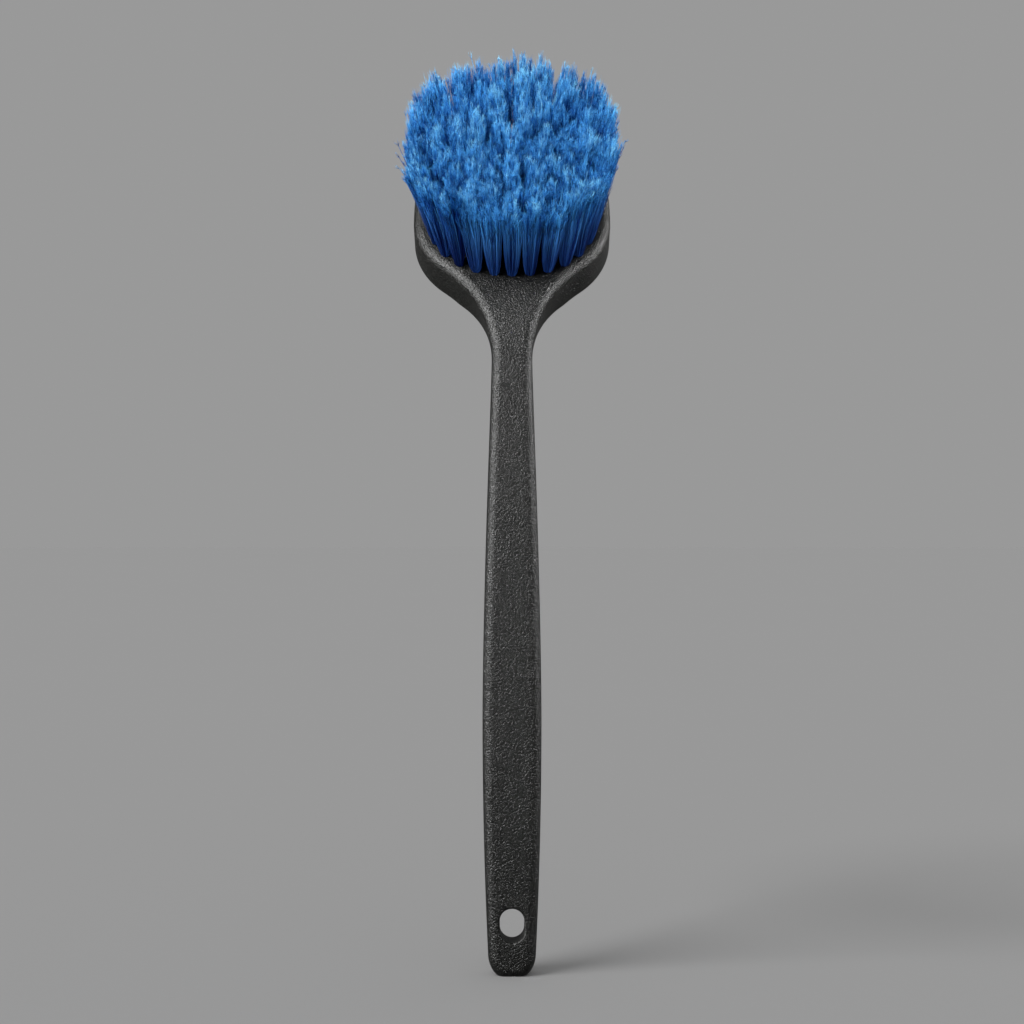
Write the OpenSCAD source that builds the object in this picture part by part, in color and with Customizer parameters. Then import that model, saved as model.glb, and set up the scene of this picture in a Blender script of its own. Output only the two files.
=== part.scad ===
// Long-handled wheel brush: a one-piece moulding (handle and leaning head) with a drilled face,
// tufts of bristle planted in five rings and a centre tuft, and a flat wire anchor in every hole.
// X runs across the brush, -Y is the bristle side, +Z runs up the handle from the foot.
// "s" is the distance up the front line of the moulding, "v" the distance along the face from
// the middle of the bristle field, and "depth" is measured into the moulding from its front.

/* [Handle] */
// Full width of the grip at its widest
grip_w = 32; // [30:0.5:34]
// Height of the widest part of the grip
grip_s = 138; // [120:1:160]
// Full width of the handle just above the foot
foot_w = 24.8; // [24:0.2:26]
// Full width of the neck at its narrowest
neck_w = 22; // [21:0.2:24]
// Height of the narrowest part of the neck
neck_s = 332; // [326:1:333]
// Thickness of the grip at its widest
grip_t = 19; // [18:0.5:21]
// Thickness at the foot
foot_t = 16; // [15.5:0.5:17]
// Thickness of the neck
neck_t = 18; // [17:0.5:19]
// Width over which each corner of the foot is rounded, seen from the front
foot_r = 9; // [8.4:0.2:9.6]
// Height over which each corner of the foot is rounded
foot_h = 12; // [10:0.5:13]

/* [Hang hole] */
// Width of the hang hole, across the handle
hang_w = 13.4; // [12:0.2:15.4]
// Length of the hang hole, along the handle
hang_l = 18.5; // [17:0.5:21]
// Height of the middle of the hang hole
hang_s = 27.4; // [25:0.2:32]

/* [Head] */
// Full width of the head
head_w = 110.4; // [108:0.2:114]
// Thickness of the head
head_t = 25.5; // [23:0.5:27]
// Extra height of the crown along the middle of the head's back
head_crown = 2.5; // [1:0.5:4]
// How far the head leans back from the line of the handle, in degrees
lean = 34; // [28:1:38]
// Radius of the bend between the handle and the head, along the front
bend_r = 80; // [74:1:84]
// Distance up the front line where the bend starts
bend_s = 334; // [334:1:338]
// Radius of the hollow curve between the neck and the flank of the head
neck_r = 75.5; // [70:0.5:78]
// Angle of the flank of the head to the line of the handle, in degrees
flank_angle = 49; // [47:0.5:49.5]
// Radius of the shoulder where the flank turns into the side of the head
shoulder_r = 47; // [44:1:50]
// Radius of the rounded edge round the front
front_edge_r = 5.2; // [4.4:0.2:5.4]
// Radius of the rounded edge round the back
back_edge_r = 4.4; // [4:0.2:5.4]

/* [Bristles] */
// Distance from the middle of the bristle field to the outer ring of tufts
field_r = 45; // [44:0.2:45.6]
// Squareness of the near half of the rings: 2 is round, more is squarer
near_power = 2.4; // [2.1:0.1:2.5]
// Squareness of the far half of the rings
far_power = 3; // [2.4:0.1:3.2]
// Distance from one ring to the next
ring_gap = 9.2; // [9:0.1:9.4]
// Number of rings round the centre tuft
rings = 5; // [5]
// Tufts in the outer ring
outer_tufts = 29; // [27:1:29]
// Fewer tufts in each ring than in the ring outside it
tufts_less = 6; // [6]
// Length of the bristle in front of the face
bristle_l = 62; // [50:1:64]
// Angle at which the outer tufts fan out, in degrees
fan = 5.5; // [3:0.5:7]
// Diameter of a tuft at its tips
tip_d = 8.8; // [7:0.2:9]
// Diameter of the tuft holes
hole_d = 5.2; // [4.8:0.1:5.4]
// Depth of the tuft holes
hole_depth = 13; // [11:0.5:14]

/* [Hidden] */
HALVES = ["left", "right"];
RING_NODES = [for (ring = [1 : rings]) for (half = HALVES) str("ring_", ring, "_", half)];
TUFT_NODES = concat([for (name = RING_NODES) str(name, "_tufts")], ["centre_tuft"]);
ANCHOR_NODES = concat([for (name = RING_NODES) str(name, "_anchors")], ["centre_anchor"]);
$fn = 48;

// The front line stands this far in front of the middle of the handle
front = 8.5;
// Exponents of the two tapers of the handle
taper_rise = 1.6;
taper_fall = 1.15;
// Roundness of the far end of the head: 2 is round, more is squarer
head_power = 3;
// The crown fades out over this distance towards the far end
crown_fade = 45;
// The middle of the bristle field lies this far past the end of the shoulder
field_past = 3.6;
// The head reaches its full thickness this far short of the middle of the bristle field
full_t_before = 60;
// It begins to thicken towards that this far below the narrowest part of the neck
swell_below = 22;
// The moulding is made this much too big where a plane is cut on it
trim = 1.2;
// The tuft hole cutters stand this far out of the face
proud = 10;
// Play between a tuft and its hole, and between an anchor and its slot
play = 0.05;
// Thickness and height of an anchor, and how far it stands above the bottom of its hole
anchor_t = 0.45;
anchor_h = 2;
anchor_lift = 1.2;
// Larger than any side of the part, for cutting planes
big = 200;

// Tangent points of the outline from the neck up to the side of the head
flank_s0 = neck_s + neck_r * sin(flank_angle);
flank_x0 = neck_w / 2 + neck_r * (1 - cos(flank_angle));
flank_x1 = head_w / 2 - shoulder_r * (1 - cos(flank_angle));
flank_s1 = flank_s0 + (flank_x1 - flank_x0) / tan(flank_angle);
shoulder_s = flank_s1 + shoulder_r * sin(flank_angle);
// The middle of the bristle field
field_s = shoulder_s + field_past;
bend_end_s = bend_s + bend_r * lean * PI / 180;
// The far end of the head
end_s = field_s + head_w / 2;

// ---- Outline of the moulding, seen square on to its front ----

// Half the width of the handle at s
function handle_x(s) = s < grip_s
    ? grip_w / 2 - (grip_w - foot_w) / 2 * pow((grip_s - s) / grip_s, 2)
    : neck_w / 2 + (grip_w - neck_w) / 2
        * pow(1 - pow((s - grip_s) / (neck_s - grip_s), taper_rise), taper_fall);

// Points [x, s] of the right side, from the middle of the foot to the middle of the far end
corner_x = handle_x(foot_h) - foot_r;
foot_line = [[0, -trim * 1.1], [corner_x / 2, -trim * 1.05]];
foot_corner = [for (a = [-90 : 15 : -15]) [corner_x + foot_r * cos(a), foot_h + (foot_h + trim) * sin(a)]];
handle_side = [for (k = [0 : 19]) let (s = foot_h + (neck_s - foot_h) * k / 20) [handle_x(s), s]];
neck_curve = [for (a = [0 : 6.5 : flank_angle - 3])
    [neck_w / 2 + neck_r * (1 - cos(a)), neck_s + neck_r * sin(a)]];
shoulder = [for (k = [0 : 5]) let (a = flank_angle * (1 - k / 6))
    [head_w / 2 - shoulder_r * (1 - cos(a)), shoulder_s - shoulder_r * sin(a)]];
far_end = [for (a = [0 : 6 : 90])
    [head_w / 2 * pow(cos(a), 2 / head_power), field_s + head_w / 2 * pow(sin(a), 2 / head_power)]];
outline = concat(foot_line, foot_corner, handle_side, neck_curve, shoulder, far_end);
last = len(outline) - 1;

// Outward direction of the outline at point i
function outward(i) =
    let (before = i == 0 ? [-outline[1].x, outline[1].y] : outline[i - 1],
         after = i == last ? [-outline[last - 1].x, outline[last - 1].y] : outline[i + 1],
         along = (after - before) / norm(after - before))
    [along.y, -along.x];

// ---- Thickness, and the bend that carries the flat outline into space ----

function smooth(k) = let (c = max(0, min(1, k))) c * c * (3 - 2 * c);

function thickness(s) =
    let (up = max(0, min(1, (s - grip_s) / (neck_s - grip_s))),
         handle_t = s < grip_s
             ? grip_t - (grip_t - foot_t) * pow((grip_s - s) / grip_s, 2)
             : neck_t + (grip_t - neck_t) * pow(1 - pow(up, taper_rise), taper_fall),
         swell_s = neck_s - swell_below,
         full_s = field_s - full_t_before)
    handle_t + (head_t - neck_t) * smooth((s - swell_s) / (full_s - swell_s));

// Height of the crown along the middle of the head's back, which fades out at both ends
function crown(s) = head_crown * smooth((s - neck_s) / (field_s - neck_s)) * smooth((end_s - s) / crown_fade);

function lean_at(s) = lean * max(0, min(1, (s - bend_s) / (bend_end_s - bend_s)));

// The point of the front line at s, as [y, z]
function front_line(s) =
    let (a = lean_at(s), foot = min(s, bend_s), past = max(0, s - bend_end_s))
    [-front + bend_r * (1 - cos(a)) + past * sin(a), foot + bend_r * sin(a) + past * cos(a)];

// Carries the point x across, s up the front line and depth into the moulding into space
function in_space(x, s, depth) =
    let (p = front_line(s), a = lean_at(s))
    [x, p.x + depth * cos(a), p.y - depth * sin(a)];

// ---- The skin: levels of the outline, from the inner edge of the front to that of the back ----

// [inset, depth] of every level, with the front edge first and the back edge after it
EDGE_STEP = 22.5;
function levels(t) = concat(
    [for (a = [90 : -EDGE_STEP : 0]) front_edge_r * [1 - cos(a), 1 - sin(a)]],
    [for (a = [0 : EDGE_STEP : 90]) [0, t] + back_edge_r * [1 - cos(a), sin(a) - 1]]);
level_count = len(levels(head_t));
// Columns of points across the back, between the right and the left inner edge
COLUMNS = [0.6, 0.2, -0.2, -0.6];

function skin_point(i, level, side) =
    let (p = outline[i], edge = levels(thickness(p.y))[level], q = p - edge[0] * outward(i))
    in_space(side * max(q.x, 0), q.y, edge[1]);
function crown_point(i, c) =
    let (p = outline[i], t = thickness(p.y), q = p - back_edge_r * outward(i))
    in_space(c * max(q.x, 0), q.y, t + crown(p.y) * pow(1 - c * c, 2));

// Each row of points goes once round the moulding: right side, back, left side
ROUND = 2 * level_count + len(COLUMNS);
skin_points = [for (i = [0 : last]) each concat(
    [for (level = [0 : level_count - 1]) skin_point(i, level, 1)],
    [for (c = COLUMNS) crown_point(i, c)],
    [for (level = [level_count - 1 : -1 : 0]) skin_point(i, level, -1)])];
// The first and the last row lie in the middle plane, where the two sides meet and need no cap
skin_faces = [for (i = [0 : last - 1]) for (k = [0 : ROUND - 1])
    let (a = i * ROUND + k, b = i * ROUND + (k + 1) % ROUND)
    [a, b, b + ROUND, a + ROUND]];

// ---- Tufts and anchors ----

function ring_size(ring) = field_r - (ring - 1) * ring_gap;
function ring_count(ring) = outer_tufts - (ring - 1) * tufts_less;
// [x, v] of tuft i of a ring, with tuft 0 on the handle side of the field
function tuft_place(ring, i) =
    let (a = 360 * i / ring_count(ring) - 90,
         power = sin(a) > 0 ? far_power : near_power,
         reach = ring_size(ring) / pow(pow(abs(cos(a)), power) + pow(abs(sin(a)), power), 1 / power))
    reach * [cos(a), sin(a)];
// The tufts of one half of a ring; a tuft on the middle line belongs to the right half
function half_ring(ring, half) =
    [for (i = [0 : ring_count(ring) - 1]) let (p = tuft_place(ring, i))
        if ((half == "right") == (p.x > -0.01)) p];

// Puts its children in a tuft's hole: origin at the hole's mouth, +Z out along the bristle
module at_tuft(p) {
    place = in_space(p.x, field_s + p.y, 0);
    fan_out = fan / field_r;
    translate(place)
        rotate([90 - lean, 0, 0])
            rotate([-fan_out * p.y, fan_out * p.x, 0])
                children();
}

// Flat wire anchor across the foot of a tuft, grown by extra on every side
module anchor_shape(extra = 0) {
    width = hole_d - play + 2 * extra;
    translate([-width / 2, -anchor_t / 2 - extra, anchor_lift - hole_depth - extra])
        cube([width, anchor_t + 2 * extra, anchor_h + 2 * extra]);
}

module tuft_shape() {
    root_r = hole_d / 2 - play;
    difference() {
        union() {
            translate([0, 0, play - hole_depth])
                cylinder(h = hole_depth - play, r = root_r);
            cylinder(h = bristle_l, r1 = root_r, r2 = tip_d / 2);
        }
        anchor_shape(play);
    }
}

module tufts(places) {
    color("dodgerblue")
        for (p = places) at_tuft(p) tuft_shape();
}

module anchors(places) {
    color("silver")
        for (p = places) at_tuft(p) anchor_shape();
}

// ---- The moulding ----

module hang_hole() {
    reach = (hang_l - hang_w) / 2;
    translate([0, 0, hang_s])
        rotate([90, 0, 0]) {
            for (side = [-1, 1])
                translate([0, side * reach, 0])
                    cylinder(h = big, d = hang_w, center = true);
            cube([hang_w, 2 * reach, big], center = true);
        }
}

module tuft_hole() {
    translate([0, 0, -hole_depth])
        cylinder(h = hole_depth + proud, d = hole_d);
}

module body() {
    color([0.1, 0.1, 0.11])
        difference() {
            polyhedron(points = skin_points, faces = skin_faces, convexity = 6);
            // The flat end of the foot
            translate([-big / 2, -big / 2, -big])
                cube(big);
            hang_hole();
            for (ring = [1 : rings]) for (half = HALVES)
                for (p = half_ring(ring, half)) at_tuft(p) tuft_hole();
            at_tuft([0, 0]) tuft_hole();
        }
}

body();
for (ring = [1 : rings]) for (half = HALVES) {
    tufts(half_ring(ring, half));
    anchors(half_ring(ring, half));
}
tufts([[0, 0]]);  // centre_tuft
anchors([[0, 0]]);  // centre_anchor
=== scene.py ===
"""Looks of the wheel brush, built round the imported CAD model: the moulding as one smooth skin with its
drilled holes, and every tuft as folded filaments with flagged tips. Named lengths are in millimetres,
apart from the studio's, and points in space are in metres."""
import math

import bmesh
import bpy
import numpy as np
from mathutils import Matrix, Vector


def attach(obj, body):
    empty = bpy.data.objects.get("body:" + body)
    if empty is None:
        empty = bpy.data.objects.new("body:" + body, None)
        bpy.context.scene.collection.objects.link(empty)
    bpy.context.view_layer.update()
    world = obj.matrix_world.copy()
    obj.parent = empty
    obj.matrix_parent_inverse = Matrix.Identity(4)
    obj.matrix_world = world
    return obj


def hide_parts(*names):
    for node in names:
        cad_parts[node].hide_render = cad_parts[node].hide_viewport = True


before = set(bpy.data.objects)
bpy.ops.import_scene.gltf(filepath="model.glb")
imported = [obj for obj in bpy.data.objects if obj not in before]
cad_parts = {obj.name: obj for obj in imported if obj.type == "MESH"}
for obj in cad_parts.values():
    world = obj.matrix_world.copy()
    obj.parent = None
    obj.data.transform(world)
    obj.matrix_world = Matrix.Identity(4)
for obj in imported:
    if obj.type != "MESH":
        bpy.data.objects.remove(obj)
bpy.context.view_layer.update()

MM = 0.001
RNG = np.random.default_rng(20)

# ---- Dimensions of the moulding, the same as the CAD model's ----

# W is a full width, T a thickness from front to back, S a distance up the front line from the foot,
# R a radius and L or H a length along the handle
GRIP_W, GRIP_S, GRIP_T = 32.0, 138.0, 19.0
FOOT_W, FOOT_T, FOOT_R, FOOT_H = 24.8, 16.0, 9.0, 12.0
NECK_W, NECK_S, NECK_T, NECK_R = 22.0, 332.0, 18.0, 75.5
HANG_W, HANG_L, HANG_S = 13.4, 18.5, 27.4
HEAD_W, HEAD_T, HEAD_CROWN, HEAD_POWER = 110.4, 25.5, 2.5, 3.0
LEAN, BEND_R, BEND_S = math.radians(34), 80.0, 334.0
FLANK, SHOULDER_R = math.radians(49), 47.0
FRONT_EDGE_R, BACK_EDGE_R = 5.2, 4.4
# The front line stands this far in front of the middle of the handle
FRONT = 8.5
# The crown of the head's back fades out over this distance towards the far end
CROWN_FADE = 45.0
# The middle of the bristle field lies this far past the end of the shoulder, and the outer ring of
# tufts has this radius
FIELD_PAST, FIELD_R = 3.6, 45.0
# The head thickens from this far below the narrowest neck, up to this far short of the field's middle
SWELL_BELOW, FULL_T_BEFORE = 22.0, 60.0
# Exponents of the taper from the grip to the neck
TAPER_RISE, TAPER_FALL = 1.6, 1.15
# The moulding is made this much too long at the foot, where a plane is cut on it
TRIM = 1.2
# The foot's middle and its halfway point bulge below the origin by these shares of the trim
FOOT_MIDDLE, FOOT_HALFWAY = 1.1, 1.05
# The blind hole of a tuft
HOLE_R, HOLE_DEPTH = 2.6, 13.0

FLANK_S0 = NECK_S + NECK_R * math.sin(FLANK)
FLANK_X0 = NECK_W / 2 + NECK_R * (1 - math.cos(FLANK))
FLANK_X1 = HEAD_W / 2 - SHOULDER_R * (1 - math.cos(FLANK))
FLANK_S1 = FLANK_S0 + (FLANK_X1 - FLANK_X0) / math.tan(FLANK)
SHOULDER_S = FLANK_S1 + SHOULDER_R * math.sin(FLANK)
FIELD_S = SHOULDER_S + FIELD_PAST
BEND_END_S = BEND_S + BEND_R * LEAN
END_S = FIELD_S + HEAD_W / 2

# Rounding of the two mouths of the hang hole, which the CAD model leaves sharp
HANG_RIM = 1.2

# ---- How finely the moulding is meshed ----

# Step round the corner of the foot, and points along each further stretch of the outline
FOOT_STEP = 5
SIDE_POINTS, NECK_POINTS, SHOULDER_POINTS, FAR_POINTS = 96, 20, 18, 36
# Levels of each rounded edge, and columns across the back and the flat front
EDGE_LEVELS, BACK_COLUMNS = 9, 13
FRONT_COLUMNS = (-0.9, 0.0, 0.9)
# Points across the rim of the hang hole, round the hang hole and round a tuft hole
RIM_POINTS, HANG_POINTS, HOLE_POINTS = 7, 64, 20
# How far the cutters stand out of the moulding at the hang hole and at a tuft hole
HANG_PROUD, TUFT_PROUD = 2.0, 8.0
# Points of the skin nearer than this are one point, and faces thinner than this are dropped
MERGE, DEGENERATE = 0.004, 0.002
# Points of a CAD solid nearer than this are one point
WELD = 0.001
# Edges that turn by more than this are shaded sharp
SHARP_ANGLE = math.radians(32)


def smooth(k):
    """Eases from 0 to 1 as k goes from 0 to 1."""
    c = np.clip(k, 0, 1)
    return c * c * (3 - 2 * c)


def taper(s):
    """How much of the grip's extra size is left at s, from 1 at the grip to 0 at the neck."""
    up = np.clip((s - GRIP_S) / (NECK_S - GRIP_S), 0, 1)
    return (1 - up ** TAPER_RISE) ** TAPER_FALL


def handle_x(s):
    """Half the width of the handle at s."""
    below = (GRIP_W - (GRIP_W - FOOT_W) * ((GRIP_S - s) / GRIP_S) ** 2) / 2
    above = (NECK_W + (GRIP_W - NECK_W) * taper(s)) / 2
    return np.where(s < GRIP_S, below, above)


def thickness(s):
    """From front to back at s, on the handle and on into the head."""
    below = GRIP_T - (GRIP_T - FOOT_T) * ((GRIP_S - s) / GRIP_S) ** 2
    above = NECK_T + (GRIP_T - NECK_T) * taper(s)
    swell_s, full_s = NECK_S - SWELL_BELOW, FIELD_S - FULL_T_BEFORE
    head = (HEAD_T - NECK_T) * smooth((s - swell_s) / (full_s - swell_s))
    return np.where(s < GRIP_S, below, above) + head


def crown(s):
    """Height of the crown along the middle of the head's back, which fades out at both ends."""
    return HEAD_CROWN * smooth((s - NECK_S) / (FIELD_S - NECK_S)) * smooth((END_S - s) / CROWN_FADE)


def in_space(x, s, depth):
    """Carries x across, s up the front line and depth into the moulding into space, in metres."""
    a = LEAN * np.clip((s - BEND_S) / (BEND_END_S - BEND_S), 0, 1)
    past = np.maximum(0, s - BEND_END_S)
    y = -FRONT + BEND_R * (1 - np.cos(a)) + past * np.sin(a) + depth * np.cos(a)
    z = np.minimum(s, BEND_S) + BEND_R * np.sin(a) + past * np.cos(a) - depth * np.sin(a)
    return np.stack(np.broadcast_arrays(x, y, z), -1) * MM


def outline():
    """Points [x, s] of the moulding's right side, from the middle of the foot to the far end."""
    corner = handle_x(np.array(FOOT_H)) - FOOT_R
    a = np.radians(np.arange(-90, 0, FOOT_STEP))
    foot = np.stack([corner + FOOT_R * np.cos(a), FOOT_H + (FOOT_H + TRIM) * np.sin(a)], 1)
    s = np.linspace(FOOT_H, NECK_S, SIDE_POINTS, endpoint=False)
    side = np.stack([handle_x(s), s], 1)
    a = np.linspace(0, FLANK, NECK_POINTS)
    neck = np.stack([NECK_W / 2 + NECK_R * (1 - np.cos(a)), NECK_S + NECK_R * np.sin(a)], 1)
    a = np.linspace(FLANK, 0, SHOULDER_POINTS, endpoint=False)
    shoulder = np.stack([HEAD_W / 2 - SHOULDER_R * (1 - np.cos(a)), SHOULDER_S - SHOULDER_R * np.sin(a)], 1)
    a = np.linspace(0, math.pi / 2, FAR_POINTS)
    reach = HEAD_W / 2 * np.stack([np.cos(a), np.sin(a)]).clip(0) ** (2 / HEAD_POWER)
    far = np.stack([reach[0], FIELD_S + reach[1]], 1)
    bottom = [[0, -FOOT_MIDDLE * TRIM], [corner / 2, -FOOT_HALFWAY * TRIM]]
    return np.concatenate([bottom, foot, side, neck, shoulder, far])


def new_mesh(name, points, faces):
    """An object in the scene, made of points and of faces that list their corners."""
    mesh = bpy.data.meshes.new(name)
    mesh.from_pydata([tuple(p) for p in points], [], faces)
    mesh.update()
    piece = bpy.data.objects.new(name, mesh)
    bpy.context.scene.collection.objects.link(piece)
    return piece


def moulding_skin():
    """The moulding before it is drilled: rows of points, each once round right side, back, left side."""
    p = outline()
    mirror = [-1, 1]
    before = np.concatenate([p[1:2] * mirror, p[:-1]])
    after = np.concatenate([p[1:], p[-2:-1] * mirror])
    along = after - before
    along /= np.linalg.norm(along, axis=1)[:, None]
    out = np.stack([along[:, 1], -along[:, 0]], 1)
    t = thickness(p[:, 1])
    arc = np.radians(np.linspace(90, 0, EDGE_LEVELS))
    levels = [(FRONT_EDGE_R * (1 - math.cos(a)), FRONT_EDGE_R * (1 - math.sin(a))) for a in arc]
    levels += [(BACK_EDGE_R * (1 - math.cos(a)), t + BACK_EDGE_R * (math.sin(a) - 1)) for a in arc[::-1]]
    right, left = [], []
    for inset, depth in levels:
        q = p - inset * out
        x = np.maximum(q[:, 0], 0)
        right.append(in_space(x, q[:, 1], depth))
        left.append(in_space(-x, q[:, 1], depth))
    q = p - BACK_EDGE_R * out
    q_front = p - FRONT_EDGE_R * out
    back, front = [], []
    for c in np.linspace(1, -1, BACK_COLUMNS)[1:-1]:
        rise = crown(p[:, 1]) * (1 - c * c) ** 2
        back.append(in_space(c * np.maximum(q[:, 0], 0), q[:, 1], t + rise))
    for c in FRONT_COLUMNS:
        front.append(in_space(c * np.maximum(q_front[:, 0], 0), q_front[:, 1], 0))
    loop = np.stack(right + back + left[::-1] + front, 1)
    rows, around = loop.shape[:2]
    points = loop.reshape(-1, 3)
    faces = []
    for i in range(rows - 1):
        for k in range(around):
            a, b = i * around + k, i * around + (k + 1) % around
            faces.append((a, b, b + around, a + around))
    skin = new_mesh("moulding", points, faces)
    bm = bmesh.new()
    bm.from_mesh(skin.data)
    bmesh.ops.remove_doubles(bm, verts=bm.verts, dist=MERGE * MM)
    bmesh.ops.dissolve_degenerate(bm, edges=bm.edges, dist=DEGENERATE * MM)
    bmesh.ops.recalc_face_normals(bm, faces=bm.faces)
    bm.to_mesh(skin.data)
    bm.free()
    return skin


def stacked(loops):
    """Points and faces of a closed solid whose sides join loops of points of equal length."""
    n = len(loops[0])
    faces = [tuple(range(n))[::-1], tuple(range((len(loops) - 1) * n, len(loops) * n))]
    for i in range(len(loops) - 1):
        for k in range(n):
            a, b = i * n + k, i * n + (k + 1) % n
            faces.append((a, b, b + n, a + n))
    return np.concatenate(loops), faces


def hang_hole_cutter():
    """An obround bar whose sides flare out round both mouths, so that the rims come out rounded."""
    a = np.linspace(0, 2 * math.pi, HANG_POINTS, endpoint=False)
    normal = np.stack([np.cos(a), np.sin(a)], 1)
    reach = (HANG_L - HANG_W) / 2
    edge = normal * HANG_W / 2
    edge[:, 1] += np.where(np.sin(a) >= 0, reach, -reach)

    def loop(flare, inside, from_back):
        """The obround grown by flare, this far inside the front or inside the back of the handle."""
        x, s = (edge + flare * normal).T
        s = s + HANG_S
        depth = thickness(s) - inside if from_back else inside
        return np.stack(np.broadcast_arrays(x, depth - FRONT, s), 1) * MM

    rim = [(HANG_RIM, -HANG_PROUD)]
    for f in np.radians(np.linspace(90, 0, RIM_POINTS)):
        rim.append((HANG_RIM * (1 - math.cos(f)), HANG_RIM * (1 - math.sin(f))))
    loops = [loop(flare, inside, False) for flare, inside in rim]
    loops += [loop(flare, inside, True) for flare, inside in rim[::-1]]
    return stacked(loops)


def foot_cutter():
    """A block under the floor, which gives the foot its flat end."""
    square = np.array([[-1, -1, 0], [1, -1, 0], [1, 1, 0], [-1, 1, 0]]) * GRIP_W * MM
    return stacked([square - [0, 0, GRIP_W * MM], square])


def islands(node):
    """The separate solids of a CAD node, each as an array of its points."""
    bm = bmesh.new()
    bm.from_mesh(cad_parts[node].data)
    bmesh.ops.remove_doubles(bm, verts=bm.verts, dist=WELD * MM)
    # A set's own order changes from run to run, so this one only says which points have been reached
    reached, found = set(), []
    for start in bm.verts:
        if start in reached:
            continue
        reached.add(start)
        queue = [start]
        for v in queue:
            for e in v.link_edges:
                w = e.other_vert(v)
                if w not in reached:
                    reached.add(w)
                    queue.append(w)
        found.append(np.array([v.co for v in queue]))
    bm.free()
    return found


def unit(v):
    """The vector v at length 1."""
    return v / np.linalg.norm(v)


NODES = sorted(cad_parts)
TUFT_NODES = [n for n in NODES if "tuft" in n]
ANCHOR_NODES = [n for n in NODES if "anchor" in n]
# Straight out of the drilled face of the head
FACE_NORMAL = np.array([0, -math.cos(LEAN), math.sin(LEAN)])
# Points of a tuft's solid that lie this near to its lowest or highest point belong to that end
END_BAND = 1.2


def tuft_axes(node):
    """The middle of the foot and of the tip of each tuft of a node, from its CAD solid, lowest first."""
    found = []
    for points in islands(node):
        along = points @ FACE_NORMAL
        foot = points[along < along.min() + END_BAND * MM].mean(0)
        tip = points[along > along.max() - END_BAND * MM].mean(0)
        found.append((foot, tip))
    return sorted(found, key=lambda f: (round(f[0][2], 5), f[0][0]))


TUFTS = {node: tuft_axes(node) for node in TUFT_NODES}
# The middle of each anchor and the direction of its long side, always towards +X
ANCHORS = []
for node in ANCHOR_NODES:
    for points in islands(node):
        middle = points.mean(0)
        along = unit(np.linalg.svd(points - middle)[2][0])
        ANCHORS.append((middle, along * np.sign(along[0])))
ANCHOR_MIDDLES = np.array([a[0] for a in ANCHORS])
FIELD_MIDDLE = TUFTS["centre_tuft"][0][0]


def tuft_hole_cutter(foot, tip):
    """A round bar from the foot of a tuft to past the mouth of its hole."""
    axis = unit(tip - foot)
    across = unit(np.cross(axis, [1, 0, 0]))
    side = np.cross(across, axis)
    a = np.linspace(0, 2 * math.pi, HOLE_POINTS, endpoint=False)
    ring = HOLE_R * MM * (np.outer(np.cos(a), side) + np.outer(np.sin(a), across))
    return stacked([foot + ring, foot + ring + axis * (HOLE_DEPTH + TUFT_PROUD) * MM])


def make_moulding():
    """The skin with its flat foot, hang hole and tuft holes cut, and with its sharp edges marked."""
    skin = moulding_skin()
    parts = [hang_hole_cutter(), foot_cutter()]
    parts += [tuft_hole_cutter(*t) for node in TUFT_NODES for t in TUFTS[node]]
    points, faces, base = [], [], 0
    for part_points, part_faces in parts:
        points.append(part_points)
        faces += [tuple(i + base for i in f) for f in part_faces]
        base += len(part_points)
    cutter = new_mesh("cutter", np.concatenate(points), faces)
    bm = bmesh.new()
    bm.from_mesh(cutter.data)
    bmesh.ops.recalc_face_normals(bm, faces=bm.faces)
    bm.to_mesh(cutter.data)
    bm.free()
    drill = skin.modifiers.new("drill", "BOOLEAN")
    drill.operation = "DIFFERENCE"
    drill.solver = "MANIFOLD"
    drill.object = cutter
    drilled = bpy.data.meshes.new_from_object(
        skin.evaluated_get(bpy.context.evaluated_depsgraph_get()))
    skin.modifiers.clear()
    skin.data = drilled
    bpy.data.objects.remove(cutter)
    bm = bmesh.new()
    bm.from_mesh(drilled)
    for f in bm.faces:
        f.smooth = True
    for e in bm.edges:
        e.smooth = e.is_manifold and e.calc_face_angle(0) < SHARP_ANGLE
    bm.to_mesh(drilled)
    bm.free()
    return skin


# ---- Bristles ----

# A tuft has this many filaments, each folded round its anchor and so two bristles long
FOLDED = 70
BRISTLE_L = 62.0
FILAMENT_R, FILAMENT_END_R = 0.19, 0.15
# Radius of a tuft at its mouth and at its tips, and the power of the height with which it opens
ROOT_R, SPREAD_R, SPREAD_POWER = 2.45, 5.8, 0.62
# Play between a tuft and its hole, as in the CAD model
PLAY = 0.05
# Each root turns from the last by this share of the half disc that they fill
GOLDEN = 0.61803
# Half the anchor's thickness with room beside it, the depth of its foot below the mouth of the hole,
# and roughly how far its middle is above the foot of the tuft
ANCHOR_HALF_T, ANCHOR_FOOT, ANCHOR_UP = 0.28, 11.8, 2.0
# A fold starts this far above the anchor's foot and passes this far below it, and the outer folds of a
# tuft pass lower than the inner ones by up to this much
FOLD_START, FOLD_CLEAR, FOLD_ROOM = 0.6, 0.12, 1.0
# Near its bottom, a fold is at this share of its width, at a depth mixed from the anchor's foot and its own
FOLD_ACROSS, FOLD_FOOT_SHARE, FOLD_OWN_SHARE = 0.72, 0.3, 0.7
# The tips of a tuft make a dome: how far its edge is below its middle, and how far the middle is raised
DOME, DOME_LIFT = 7.5, 0.8
# With nothing outside them to lean on, the outer tufts splay, and those below the middle sag too
OUTER_SPLAY, OUTER_SPREAD, OUTER_POWER, SAG = 2.2, 1.0, 4, 0.5
# The bristles of a tuft gather into locks
LOCKS, GATHER = 20, 0.45
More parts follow.
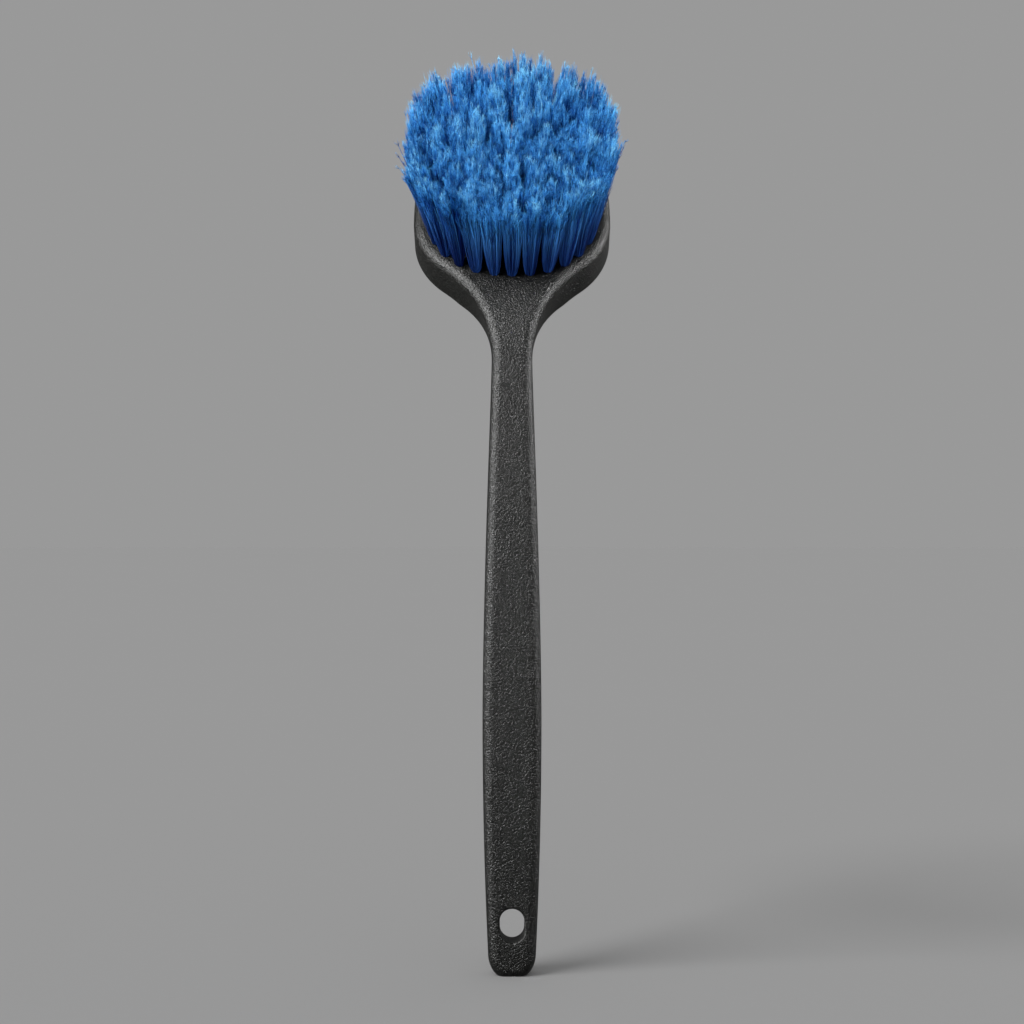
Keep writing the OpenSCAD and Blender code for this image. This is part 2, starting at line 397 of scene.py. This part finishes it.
# How much the lengths, leans and shades of tufts, locks and bristles vary
TUFT_LIFT, TUFT_LEAN, TUFT_SHADE = 1.7, 1.3, 0.09
LOCK_LIFT, LOCK_LEAN, LOCK_SHADE = 2.2, 0.5, 0.26
BRISTLE_LIFT, BRISTLE_LEAN, BRISTLE_SHADE = 1.8, 0.45, 0.4
ROOT_JITTER = 0.12
# Every bristle waves a little, through this many radians, and a few stray ones bow
WAVE, WAVE_RADIANS = 0.2, 7
STRAYS, STRAY_BOW = 0.035, 4.0
# Every bristle splits into finer flags at its tip
FLAGS, FLAG_L, FLAG_R, FLAG_SPLAY, FLAG_CURL = 5, 22.0, 0.12, 0.8, 0.4
# A bristle's split is FLAG_L times the square of a number drawn between this and 1
SPLIT_SHORTEST = 0.35
# Shortest and longest flag of a bristle, as shares of the split, and the power with which they part
FLAG_SHORT, FLAG_LONG, FLAG_PARTING = 0.6, 1.15, 1.3
# Columns of shade across the bristles' UV map, from dark to light, and the usual shade, from 0 to 1
SHADES, MIDDLE_SHADE = 16, 0.5
# A flag is up to this many columns darker or lighter than its bristle
FLAG_DARKER, FLAG_LIGHTER = 3, 4
# Size of the cap of a tube on the UV map, across a column and along the bristle
CAP_U, CAP_V = 0.3, 0.002
# Stations from root to tip along a bristle and along a flag, which starts a little inside its bristle
STATIONS = np.array([0.0, 0.16, 0.4, 0.7, 1.0])
FLAG_STATIONS = np.array([-0.08, 0.5, 1.0])
# Thickness of a flag at its stations, as shares of FLAG_R
FLAG_TAPER = np.array([1.0, 0.75, 0.2])
# Angles of the three corners of a tube
CORNERS = np.arange(3) * 2 * math.pi / 3


def tubes(centres, radii, guide):
    """Points of three-sided tubes round centre lines [tube, ring, xyz], each turned by chance."""
    tangent = np.gradient(centres, axis=1)
    tangent /= np.linalg.norm(tangent, axis=2)[..., None]
    e2 = np.cross(tangent, guide)
    e2 /= np.linalg.norm(e2, axis=2)[..., None]
    e1 = np.cross(e2, tangent)
    turn = RNG.uniform(0, 2 * math.pi, len(centres))[:, None] + CORNERS
    cos, sin = np.cos(turn)[:, None, :, None], np.sin(turn)[:, None, :, None]
    ring = cos * e1[:, :, None] + sin * e2[:, :, None]
    return centres[:, :, None] + radii[None, :, None, None] * ring


class Bundle:
    """Gathers tubes into one mesh whose UV map runs along every tube, in its column of shade."""

    def __init__(self):
        self.verts, self.faces, self.uvs, self.base = [], [], [], 0

    def face(self, corners, us, vs):
        """One triangle on every tube, with the UV place of each of its corners."""
        self.faces.append(np.stack(corners, 1))
        self.uvs.append(np.stack([w for uv in zip(us, vs) for w in uv], 1))

    def add(self, points, z, column, pointed):
        """Tubes with points [tube, ring, 3, xyz], height z of every ring and the column of every span."""
        n, rings = points.shape[:2]
        full = rings - 1 if pointed else rings
        body = points[:, :full].reshape(n, full * 3, 3)
        if pointed:
            body = np.concatenate([body, points[:, -1].mean(1)[:, None]], 1)
        per = body.shape[1]
        first = self.base + np.arange(n) * per
        v = np.clip((z + HOLE_DEPTH) / (BRISTLE_L + HOLE_DEPTH + DOME_LIFT), 0, 1)
        for i in range(rings - 1):
            u = [(column[:, i] + k / 3) / SHADES for k in range(4)]
            low, high = v[:, i], v[:, i + 1]
            for k in range(3):
                a, b = first + 3 * i + k, first + 3 * i + (k + 1) % 3
                if i < full - 1:
                    self.face((a, b, b + 3), (u[k], u[k + 1], u[k + 1]), (low, low, high))
                    self.face((a, b + 3, a + 3), (u[k], u[k + 1], u[k]), (low, high, high))
                else:
                    self.face((a, b, first + per - 1), (u[k], u[k + 1], u[k]), (low, low, high))
        ends = [(0, (2, 1, 0))] if pointed else [(0, (2, 1, 0)), (full - 1, (0, 1, 2))]
        for i, order in ends:
            u = (column[:, min(i, rings - 2)] + 0.5) / SHADES
            at = v[:, i]
            corners = [first + 3 * i + k for k in order]
            self.face(corners, (u, u + CAP_U / SHADES, u), (at, at, at + CAP_V))
        self.verts.append(body.reshape(-1, 3))
        self.base += n * per

    def piece(self, name):
        """The object that holds everything added so far."""
        points = np.concatenate(self.verts).astype(np.float32)
        tris = np.concatenate(self.faces).astype(np.int32)
        uv = np.concatenate(self.uvs).astype(np.float32)
        mesh = bpy.data.meshes.new(name)
        mesh.vertices.add(len(points))
        mesh.vertices.foreach_set("co", points.ravel())
        mesh.loops.add(tris.size)
        mesh.loops.foreach_set("vertex_index", tris.ravel())
        mesh.polygons.add(len(tris))
        mesh.polygons.foreach_set("loop_start", np.arange(0, tris.size, 3, dtype=np.int32))
        mesh.polygons.foreach_set("use_smooth", np.ones(len(tris), bool))
        mesh.update(calc_edges=True)
        layer = mesh.uv_layers.new(name="OFBake")
        layer.data.foreach_set("uv", uv.ravel())
        piece = bpy.data.objects.new(name, mesh)
        bpy.context.scene.collection.objects.link(piece)
        return piece


def grow(bundle, foot, tip):
    """Adds one tuft: folded filaments, whose paths are worked out in the tuft's own frame, and flags."""
    # The tuft's own frame: along its anchor, across it and up the tuft, from the mouth of the hole
    axis = unit(tip - foot)
    mouth = foot + axis * (HOLE_DEPTH - PLAY) * MM
    nearest = np.argmin(np.linalg.norm(ANCHOR_MIDDLES - foot - axis * ANCHOR_UP * MM, axis=1))
    side = ANCHORS[nearest][1]
    side = unit(side - axis * (side @ axis))
    basis = np.stack([side, np.cross(axis, side), axis])

    # Roots of the folded filaments, spread evenly over the half disc on one side of the anchor
    k = np.arange(FOLDED) + 0.5
    r = ROOT_R * np.sqrt(k / FOLDED)
    turn = (k * GOLDEN) % 1 * math.pi
    root_x = r * np.cos(turn)
    root_y = ANCHOR_HALF_T + r * np.sin(turn) * (ROOT_R - ANCHOR_HALF_T) / ROOT_R

    # How this tuft differs from its neighbours, and how its locks differ from each other
    tuft_lift, tuft_shade = RNG.normal(0, TUFT_LIFT), RNG.normal(0, TUFT_SHADE)
    outward = (basis[:2] @ (foot - FIELD_MIDDLE)) / (FIELD_R * MM)
    outer = np.linalg.norm(outward) ** OUTER_POWER
    down = (FIELD_MIDDLE - foot)[2] / (FIELD_R * MM)
    tuft_lean = RNG.normal(0, TUFT_LEAN, 2) + OUTER_SPLAY * (1 + SAG * down) * outward * outer
    spread_r = SPREAD_R + OUTER_SPREAD * outer
    lock_r, lock_turn = ROOT_R * np.sqrt(RNG.random(LOCKS)), RNG.uniform(0, 2 * math.pi, LOCKS)
    lock_at = np.stack([lock_r * np.cos(lock_turn), lock_r * np.sin(lock_turn)], 1)
    lock_lean = RNG.normal(0, LOCK_LEAN, (LOCKS, 2))
    lock_lift, lock_shade = RNG.normal(0, LOCK_LIFT, LOCKS), RNG.normal(0, LOCK_SHADE, LOCKS)

    # The bristles on each side of the anchor: the places, heights and shade of each
    halves = []
    for half in (1, -1):
        root = np.stack([root_x, half * root_y], 1) + RNG.normal(0, ROOT_JITTER, (FOLDED, 2))
        lock = np.argmin(np.linalg.norm(root[:, None] - lock_at, axis=2), axis=1)
        off_centre = np.linalg.norm(root, axis=1) / ROOT_R
        top = BRISTLE_L + tuft_lift + lock_lift[lock] + DOME_LIFT - DOME * off_centre ** 2
        top += RNG.normal(0, BRISTLE_LIFT, FOLDED)
        bow = tuft_lean + lock_lean[lock] + RNG.normal(0, BRISTLE_LEAN, (FOLDED, 2))
        bow += (RNG.random(FOLDED) < STRAYS)[:, None] * RNG.normal(0, STRAY_BOW, (FOLDED, 2))
        bow += GATHER * spread_r / ROOT_R * (lock_at[lock] - root)
        wave = RNG.normal(0, WAVE, (FOLDED, 2))[:, None]
        split = FLAG_L * RNG.uniform(SPLIT_SHORTEST, 1.0, FOLDED) ** 2
        z = (top - split)[:, None] * STATIONS
        share = (z / BRISTLE_L)[..., None]
        spread = 1 + (spread_r / ROOT_R - 1) * share ** SPREAD_POWER
        xy = root[:, None] * spread + bow[:, None] * share ** 2
        xy += wave * np.sin(share * WAVE_RADIANS + half)
        own_shade = RNG.uniform(-BRISTLE_SHADE, BRISTLE_SHADE, FOLDED)
        shade = MIDDLE_SHADE + tuft_shade + lock_shade[lock] + own_shade
        column = np.clip(shade * SHADES, 0, SHADES - 1).astype(int)
        halves.append((xy, z, top, column))

    # The folded path runs down one side, round the foot of the anchor and up the other side
    (xy, z, _, column), (far_xy, far_z, _, far_column) = halves
    depth = ANCHOR_FOOT + FOLD_CLEAR + FOLD_ROOM * (root_y - ANCHOR_HALF_T) / (ROOT_R - ANCHOR_HALF_T)
    low = np.full(FOLDED, FOLD_START - ANCHOR_FOOT)
    turning = -FOLD_FOOT_SHARE * ANCHOR_FOOT - FOLD_OWN_SHARE * depth
    bend_y = root_y[:, None] * np.array([1, FOLD_ACROSS, 0, -FOLD_ACROSS, -1])
    bend_xy = np.stack(np.broadcast_arrays(root_x[:, None], bend_y), 2)
    path_xy = np.concatenate([xy[:, ::-1], bend_xy, far_xy], 1)
    path_z = np.concatenate([z[:, ::-1], np.stack([low, turning, -depth, turning, low], 1), far_z], 1)
    centres = mouth + np.concatenate([path_xy, path_z[..., None]], 2) * MM @ basis
    radii = FILAMENT_R + (FILAMENT_END_R - FILAMENT_R) * np.clip(path_z[0] / BRISTLE_L, 0, 1)
    spans = path_z.shape[1] - 1
    columns = np.where(np.arange(spans) < spans / 2, column[:, None], far_column[:, None])
    bundle.add(tubes(centres, radii * MM, side), path_z, columns, pointed=False)

    # Flags go on along the line of their bristle and part from it
    for xy, z, top, column in halves:
        slope = (xy[:, -1] - xy[:, -2]) / (z[:, -1] - z[:, -2])[:, None]
        for _ in range(FLAGS):
            length = (top - z[:, -1]) * RNG.uniform(FLAG_SHORT, FLAG_LONG, FOLDED)
            splay = RNG.normal(0, FLAG_SPLAY, (FOLDED, 1, 2))
            curl = RNG.normal(0, FLAG_CURL, (FOLDED, 1, 2))
            f = FLAG_STATIONS[:, None]
            flag_xy = xy[:, -1:] + (slope * length[:, None])[:, None] * f
            flag_xy += splay * np.sign(f) * np.abs(f) ** FLAG_PARTING + curl * np.sin(f * math.pi)
            flag_z = z[:, -1:] + length[:, None] * FLAG_STATIONS
            centres = mouth + np.concatenate([flag_xy, flag_z[..., None]], 2) * MM @ basis
            change = RNG.integers(-FLAG_DARKER, FLAG_LIGHTER + 1, FOLDED)
            flag_column = np.clip(column + change, 0, SHADES - 1)
            columns = np.repeat(flag_column[:, None], len(FLAG_STATIONS) - 1, 1)
            bundle.add(tubes(centres, FLAG_R * FLAG_TAPER * MM, side), flag_z, columns, pointed=True)


def bristles(node):
    """All the tufts of a node as one piece."""
    bundle = Bundle()
    for foot, tip in TUFTS[node]:
        grow(bundle, foot, tip)
    return bundle.piece(node.replace("tuft", "bristle"))


# ---- Materials ----

# Depth of the plastic's grain, and how much of it the pits add to the wrinkles
GRAIN_DEPTH, PIT_SHARE = 0.6, 0.35


def material(name):
    """A new material, its node tree and its Principled shader."""
    m = bpy.data.materials.new(name)
    m.use_nodes = True
    return m, m.node_tree, m.node_tree.nodes["Principled BSDF"]


def add_node(tree, kind, inputs=(), **values):
    """A node with these settings, and with each input set to a number or linked to a socket."""
    n = tree.nodes.new(kind)
    for key, value in values.items():
        setattr(n, key, value)
    for key, value in dict(inputs).items():
        if isinstance(value, bpy.types.NodeSocket):
            tree.links.new(value, n.inputs[key])
        else:
            n.inputs[key].default_value = value
    return n


def maths(tree, operation, *values):
    """The result of a Math node."""
    return add_node(tree, "ShaderNodeMath", dict(enumerate(values)), operation=operation).outputs[0]


def in_millimetres(tree):
    """The place on the object, in millimetres."""
    place = add_node(tree, "ShaderNodeTexCoord").outputs["Object"]
    return add_node(tree, "ShaderNodeVectorMath", {0: place, "Scale": 1 / MM}, operation="SCALE").outputs[0]


def noise(tree, place, scale, detail=2.0, distortion=0.0):
    """Noise from 0 to 1, with about this many lumps to each unit of place."""
    inputs = {"Vector": place, "Scale": scale, "Detail": detail, "Distortion": distortion}
    return add_node(tree, "ShaderNodeTexNoise", inputs).outputs["Fac"]


def ramp(tree, factor, stops):
    """The colour at factor between stops, each a position and its colour."""
    n = add_node(tree, "ShaderNodeValToRGB", {"Fac": factor})
    while len(n.color_ramp.elements) < len(stops):
        n.color_ramp.elements.new(0.5)
    for element, (at, colour) in zip(n.color_ramp.elements, stops):
        element.position = at
        element.color = (*colour, 1)
    return n.outputs["Color"]


def black_plastic():
    """Satin black with a moulded leather grain: wrinkles about a millimetre apart, and finer pits, with
    painted shade in the wrinkles' valleys.
    """
    m, tree, shader = material("black_plastic")
    place = in_millimetres(tree)
    wrinkles = noise(tree, place, 1.1, distortion=0.6)
    pits = noise(tree, place, 1.9)
    height = maths(tree, "MULTIPLY_ADD", pits, PIT_SHARE, wrinkles)
    relief = {"Height": height, "Strength": 1.0, "Distance": GRAIN_DEPTH * MM}
    bump = add_node(tree, "ShaderNodeBump", relief)
    tree.links.new(bump.outputs["Normal"], shader.inputs["Normal"])
    # Painted shade and light: the colour follows the wrinkles, near black in their valleys and lighter on
    # their ridges
    grain_valley_shade = ramp(tree, wrinkles, [(0.42, (0.0005, 0.0005, 0.0004)), (0.60, (0.0072, 0.0074, 0.0066))])
    tree.links.new(grain_valley_shade, shader.inputs["Base Color"])
    rough = add_node(tree, "ShaderNodeMapRange", {"Value": pits, "To Min": 0.28, "To Max": 0.38})
    tree.links.new(rough.outputs["Result"], shader.inputs["Roughness"])
    shader.inputs["Specular IOR Level"].default_value = 0.3
    return m


def blue_bristle():
    """Dyed filaments, each in its own shade: deep blue at the root, paler at the flagged tip. The darkening
    towards the root is painted shade, and the pale tips are partly the flags' own paleness and partly
    painted highlight.
    """
    m, tree, shader = material("blue_bristle")
    uv = add_node(tree, "ShaderNodeUVMap", uv_map="OFBake").outputs["UV"]
    split = add_node(tree, "ShaderNodeSeparateXYZ", {"Vector": uv})
    along = split.outputs["Y"]
    # Along each bristle the colour darkens towards the root as painted shade, and pales at the tip partly
    # as painted highlight
    dark = ramp(tree, along, [
        (0.0, (0.001, 0.005, 0.055)), (0.45, (0.001, 0.013, 0.12)), (0.84, (0.002, 0.045, 0.26)),
        (0.92, (0.003, 0.08, 0.32)), (1.0, (0.010, 0.15, 0.46))])
    light = ramp(tree, along, [
        (0.0, (0.010, 0.05, 0.28)), (0.35, (0.034, 0.13, 0.49)), (0.60, (0.07, 0.30, 0.80)),
        (0.85, (0.06, 0.36, 0.83)), (0.95, (0.11, 0.50, 0.93)), (1.0, (0.28, 0.72, 0.99))])
    column = maths(tree, "FLOOR", maths(tree, "MULTIPLY", split.outputs["X"], SHADES))
    column = maths(tree, "DIVIDE", column, SHADES)
    mixed = add_node(tree, "ShaderNodeMix", {"Factor": column}, data_type="RGBA")
    tree.links.new(dark, mixed.inputs["A"])
    tree.links.new(light, mixed.inputs["B"])
    tree.links.new(mixed.outputs["Result"], shader.inputs["Base Color"])
    shader.inputs["Roughness"].default_value = 0.5
    shader.inputs["Specular IOR Level"].default_value = 0.08
    return m


def anchor_wire():
    """Drawn flat wire, a little uneven in its brightness."""
    m, tree, shader = material("anchor_wire")
    drawn = noise(tree, in_millimetres(tree), 6.0, 3.0)
    colour = ramp(tree, drawn, [(0.3, (0.5, 0.5, 0.48)), (0.7, (0.72, 0.72, 0.7))])
    tree.links.new(colour, shader.inputs["Base Color"])
    shader.inputs["Metallic"].default_value = 1.0
    shader.inputs["Roughness"].default_value = 0.35
    return m


def studio_grey():
    """Plain matt grey, with a cloud too faint to see."""
    m, tree, shader = material("studio_grey")
    place = add_node(tree, "ShaderNodeTexCoord").outputs["Object"]
    cloud = noise(tree, place, 2.0)
    colour = ramp(tree, cloud, [(0.0, (0.597, 0.597, 0.597)), (1.0, (0.603, 0.603, 0.603))])
    tree.links.new(colour, shader.inputs["Base Color"])
    shader.inputs["Roughness"].default_value = 1.0
    shader.inputs["Specular IOR Level"].default_value = 0.0
    return m


# ---- The object ----

plastic, bristle, wire = black_plastic(), blue_bristle(), anchor_wire()
# What the lamps of the moulding and those of the bristles light
gloss, tufts = bpy.data.collections.new("gloss"), bpy.data.collections.new("tufts")

moulding = make_moulding()
moulding.data.materials.clear()
moulding.data.materials.append(plastic)
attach(moulding, "root")
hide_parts("body")
gloss.objects.link(moulding)

for node in TUFT_NODES:
    piece = bristles(node)
    piece.data.materials.append(bristle)
    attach(piece, "root")
    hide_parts(node)
    tufts.objects.link(piece)

for node in ANCHOR_NODES:
    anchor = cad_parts[node]
    anchor.data.materials.clear()
    anchor.data.materials.append(wire)

# ---- Studio, in metres ----

# Grey of the backdrop that the camera sees, which the lit floor comes close to
BACKDROP_GREY = 0.319
# Grey of the surroundings that light the object from all round
SURROUNDINGS_GREY = 0.10
# Half the side of the square floor
FLOOR_HALF = 12.0
# The middle of the bristles and of the handle, which the lamps aim at
HEAD = (0, 0, 0.42)
GRIP = (0, 0, 0.25)


def studio_floor():
    """A wide grey square at the height of the foot."""
    corners = [(-FLOOR_HALF, -FLOOR_HALF, 0), (FLOOR_HALF, -FLOOR_HALF, 0),
               (FLOOR_HALF, FLOOR_HALF, 0), (-FLOOR_HALF, FLOOR_HALF, 0)]
    piece = new_mesh("studio_floor", corners, [(0, 1, 2, 3)])
    piece.data.materials.append(studio_grey())
    # Mirrored in the black walls of the head, the floor would make them pale
    piece.visible_glossy = False
    return piece


def lamp(name, kind, place, aim, energy, receivers=None, **values):
    """A lamp that points from place to aim, and lights everything or only its receivers."""
    data = bpy.data.lights.new(name, kind)
    data.energy = energy
    for key, value in values.items():
        setattr(data, key, value)
    light = bpy.data.objects.new(name, data)
    light.location = place
    light.rotation_euler = (Vector(aim) - Vector(place)).to_track_quat("-Z", "Y").to_euler()
    if receivers is not None:
        light.light_linking.receiver_collection = receivers
    bpy.context.scene.collection.objects.link(light)


def soft_box(name, place, aim, watts, receivers, width, height):
    """A soft rectangular lamp that lights only its receivers."""
    lamp(name, "AREA", place, aim, watts, receivers, shape="RECTANGLE", size=width, size_y=height)


def grey(value):
    """This grey as an opaque colour."""
    return (value, value, value, 1)


ground = bpy.data.collections.new("ground")
ground.objects.link(studio_floor())

lamp("sun", "SUN", (-1.0, -0.6, 1.3), (0, 0, 0), 0.95, angle=0.5)
lamp("floor_fill", "SUN", (0, 0, 2), (0, 0, 0), 0.63, ground, angle=2.4)
soft_box("key", (-0.85, -0.45, 0.95), HEAD, 12, tufts, 0.5, 0.6)
soft_box("top", (0.05, -0.75, 1.25), HEAD, 9.4, tufts, 0.6, 0.5)
soft_box("front", (-0.3, -1.05, -0.12), HEAD, 34, tufts, 0.5, 0.5)
soft_box("side", (0.95, 0.1, 0.6), HEAD, 5, tufts, 0.4, 0.4)
soft_box("rear", (-0.3, 1.1, 0.9), HEAD, 6, tufts, 0.5, 0.5)
soft_box("high_gloss", (-0.3, -0.8, 0.7), GRIP, 3.2, gloss, 0.4, 0.3)
soft_box("left_gloss", (-0.8, -0.48, 0.6), GRIP, 37, gloss, 0.5, 0.6)
soft_box("right_gloss", (0.9, 0.0, 0.65), GRIP, 21, gloss, 0.15, 0.6)

# The camera sees a plain backdrop, and everything else sees the darker surroundings
world = bpy.data.worlds.new("studio")
world.use_nodes = True
sky = world.node_tree
surroundings = sky.nodes["Background"]
surroundings.inputs["Color"].default_value = grey(SURROUNDINGS_GREY)
backdrop = add_node(sky, "ShaderNodeBackground", {"Color": grey(BACKDROP_GREY)})
seen = add_node(sky, "ShaderNodeLightPath").outputs["Is Camera Ray"]
mix = add_node(sky, "ShaderNodeMixShader", {0: seen, 1: surroundings.outputs[0], 2: backdrop.outputs[0]})
sky.links.new(mix.outputs[0], sky.nodes["World Output"].inputs["Surface"])
bpy.context.scene.world = world
bpy.context.scene.view_settings.view_transform = "Standard"

# The photograph's view: level, square to the front, from one metre
camera = bpy.data.objects.new("camera", bpy.data.cameras.new("camera"))
camera.location = (0, -1.0, 0.2507)
camera.rotation_euler = (math.radians(90), 0, 0)
camera.data.sensor_width = 36
camera.data.lens = 64.7
camera.data.clip_end = 50
bpy.context.scene.collection.objects.link(camera)
bpy.context.scene.camera = camera
